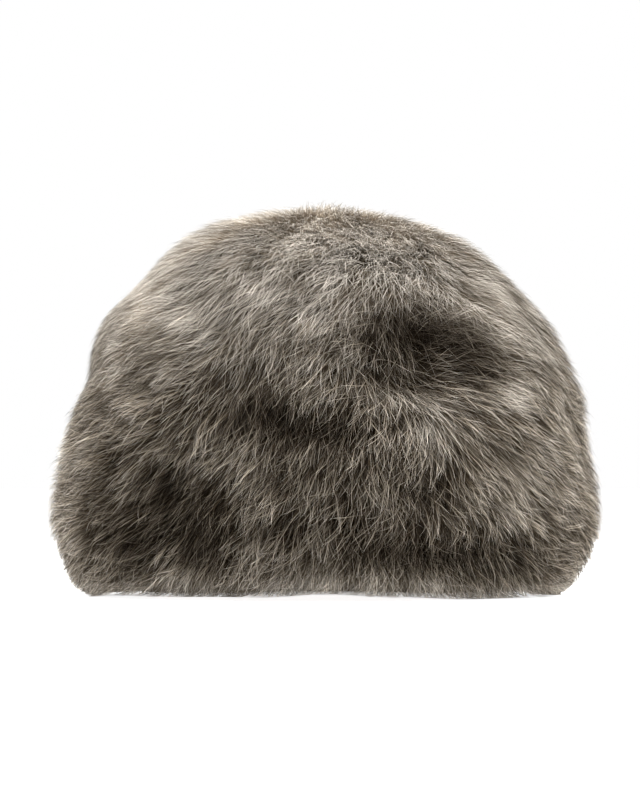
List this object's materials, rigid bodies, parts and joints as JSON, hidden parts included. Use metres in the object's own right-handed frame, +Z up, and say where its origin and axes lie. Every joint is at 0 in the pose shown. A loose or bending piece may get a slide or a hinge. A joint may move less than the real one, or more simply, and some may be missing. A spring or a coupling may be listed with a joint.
{
  "type": "round fur hat",
  "caption": "Soft, rounded pull-on fur hat: a domed fur crown sewn to a deep fur band, open below for the head, with no flaps, peak or ties.",
  "frame": {"origin": "middle of the hem on the surface that the hat rests on, under the centre of its box", "axes": "+Z up through the crown, -Y out of the front, +X to the right as seen from the front"},
  "size_m": [0.2498, 0.2851, 0.1735],
  "materials": {
    "fur": "deep grey-brown fur with dark roots and pale tips",
    "skin": "matt tanned skin side, suede-like"
  },
  "bodies": {
    "root": {"crown_fur": "fur", "band_fur": "fur", "crown_skin": "skin", "band_skin": "skin"}
  },
  "joints": []
}
